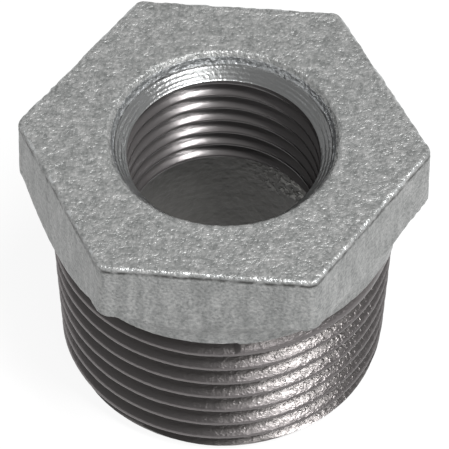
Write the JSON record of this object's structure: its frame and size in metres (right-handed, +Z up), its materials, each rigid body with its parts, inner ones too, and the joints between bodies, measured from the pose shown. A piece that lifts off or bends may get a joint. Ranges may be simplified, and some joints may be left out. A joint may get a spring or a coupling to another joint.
{
  "type": "hex bushing",
  "caption": "Hexagon-headed reducing bushing with an outside taper pipe thread and a smaller inside pipe thread above a cored hollow.",
  "frame": {"origin": "centre of the threaded end's face, where the part stands", "axes": "+Z up the thread axis towards the hexagon, +X towards one hexagon corner"},
  "size_m": [0.04, 0.035, 0.029],
  "materials": {
    "galvanised_iron": "zinc-coated casting with bare machined threads"
  },
  "bodies": {
    "root": {"hex_bushing": "galvanised_iron"}
  },
  "joints": []
}
